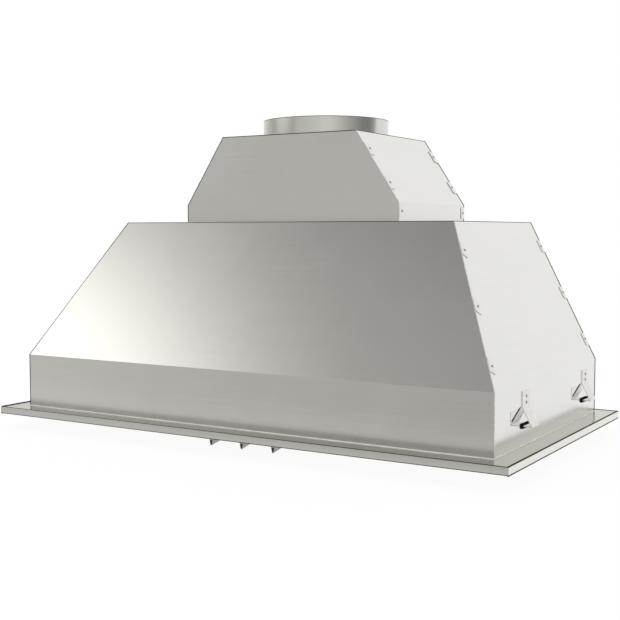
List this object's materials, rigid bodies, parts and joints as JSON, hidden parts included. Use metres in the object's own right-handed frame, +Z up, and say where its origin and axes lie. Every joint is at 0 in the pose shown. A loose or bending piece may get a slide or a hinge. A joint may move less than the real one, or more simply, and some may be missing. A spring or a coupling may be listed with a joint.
{
  "type": "range hood insert",
  "caption": "Range hood insert with a folded rim, sloped steel body, blower box, round duct collar, side clips, knobs, lamps and baffle filters that swing down.",
  "frame": {"origin": "centre of the four hanging holes, on the roof's upper face", "axes": "+X to the right along the width, +Y to the back, +Z up"},
  "size_m": [1.076, 0.592, 0.6125],
  "materials": {
    "casing": "fine brushed stainless sheet",
    "side_sheet": "brushed stainless sheet, satin",
    "rim": "polished brushed stainless",
    "collar": "rolled stainless",
    "spring": "spring strip",
    "fastener": "plain rivets",
    "pad": "matt black rubber",
    "knob": "polished metal",
    "shaft": "turned steel",
    "plastic": "black moulded plastic",
    "white_plastic": "white moulded plastic",
    "lens": "frosted glass",
    "lamp_can": "cast aluminium",
    "filter": "satin stainless",
    "galvanised": "galvanised sheet",
    "wheel": "plain aluminium",
    "motor": "black enamelled steel",
    "magnet": "nickel plated",
    "conduit": "black sleeved wire"
  },
  "bodies": {
    "casing": {"rim_frame": "rim", "front_panel": "casing", "rear_panel": "casing", "left_side_panel": "side_sheet", "right_side_panel": "side_sheet", "roof_panel": "casing", "box_front": "casing", "box_rear": "casing", "box_left": "side_sheet", "box_right": "side_sheet", "box_top": "casing", "duct_collar": "collar", "casing_rivets": "fastener", "clip_front_right": "spring", "clip_rear_right": "spring", "clip_front_left": "spring", "clip_rear_left": "spring", "clip_pads": "pad", "clip_rivets": "fastener", "control_panel": "rim", "knob_bezels": "knob", "rotary_switches": "plastic", "lamp_bezels": "knob", "lamp_lenses": "lens", "lamp_housings": "lamp_can", "lamp_driver": "white_plastic", "speed_control": "plastic", "side_rails": "rim", "rear_rail": "rim", "hinge_rod": "shaft", "rod_brackets": "filter", "filter_magnets": "magnet", "blower_scroll": "galvanised", "scroll_sides": "galvanised", "blower_motor": "motor", "motor_bracket": "galvanised", "capacitor": "lamp_can", "outlet_plate": "galvanised", "damper_pin": "shaft", "junction_box": "galvanised", "wiring": "conduit"},
    "knob_left": {"knob_left": "knob", "shaft_left": "shaft"},
    "knob_centre": {"knob_centre": "knob", "shaft_centre": "shaft"},
    "knob_right": {"knob_right": "knob", "shaft_right": "shaft"},
    "filter_left": {"filter_frame_left": "filter", "baffles_left": "filter", "handle_left": "knob"},
    "filter_centre": {"filter_frame_centre": "filter", "baffles_centre": "filter", "handle_centre": "knob"},
    "filter_right": {"filter_frame_right": "filter", "baffles_right": "filter", "handle_right": "knob"},
    "wheel": {"blower_wheel": "wheel", "motor_shaft": "shaft"},
    "flap_front": {"damper_flap_front": "galvanised"},
    "flap_rear": {"damper_flap_rear": "galvanised"}
  },
  "joints": [
    {"name": "knob_left_turn", "type": "hinge", "parent": "casing", "child": "knob_left", "pos_m": [-0.068, -0.2845, -0.3805], "axis": [0, 0, 1], "range_deg": [0, 270]},
    {"name": "knob_centre_turn", "type": "hinge", "parent": "casing", "child": "knob_centre", "pos_m": [0, -0.2845, -0.3805], "axis": [0, 0, 1], "range_deg": [0, 270]},
    {"name": "knob_right_turn", "type": "hinge", "parent": "casing", "child": "knob_right", "pos_m": [0.068, -0.2845, -0.3805], "axis": [0, 0, 1], "range_deg": [0, 300]},
    {"name": "filter_left_swing", "type": "hinge", "parent": "casing", "child": "filter_left", "pos_m": [0, 0.1593, -0.3615], "axis": [1, 0, 0], "range_deg": [0, 75]},
    {"name": "filter_centre_swing", "type": "hinge", "parent": "casing", "child": "filter_centre", "pos_m": [0, 0.1593, -0.3615], "axis": [1, 0, 0], "range_deg": [0, 75]},
    {"name": "filter_right_swing", "type": "hinge", "parent": "casing", "child": "filter_right", "pos_m": [0, 0.1593, -0.3615], "axis": [1, 0, 0], "range_deg": [0, 75]},
    {"name": "wheel_spin", "type": "hinge", "parent": "casing", "child": "wheel", "pos_m": [0, -0.0265, 0.0486], "axis": [1, 0, 0], "continuous": true},
    {"name": "flap_front_open", "type": "hinge", "parent": "casing", "child": "flap_front", "pos_m": [0, 0, 0.176], "axis": [-1, 0, 0], "range_deg": [0, 78]},
    {"name": "flap_rear_open", "type": "hinge", "parent": "casing", "child": "flap_rear", "pos_m": [0, 0, 0.176], "axis": [1, 0, 0], "range_deg": [0, 78]}
  ]
}
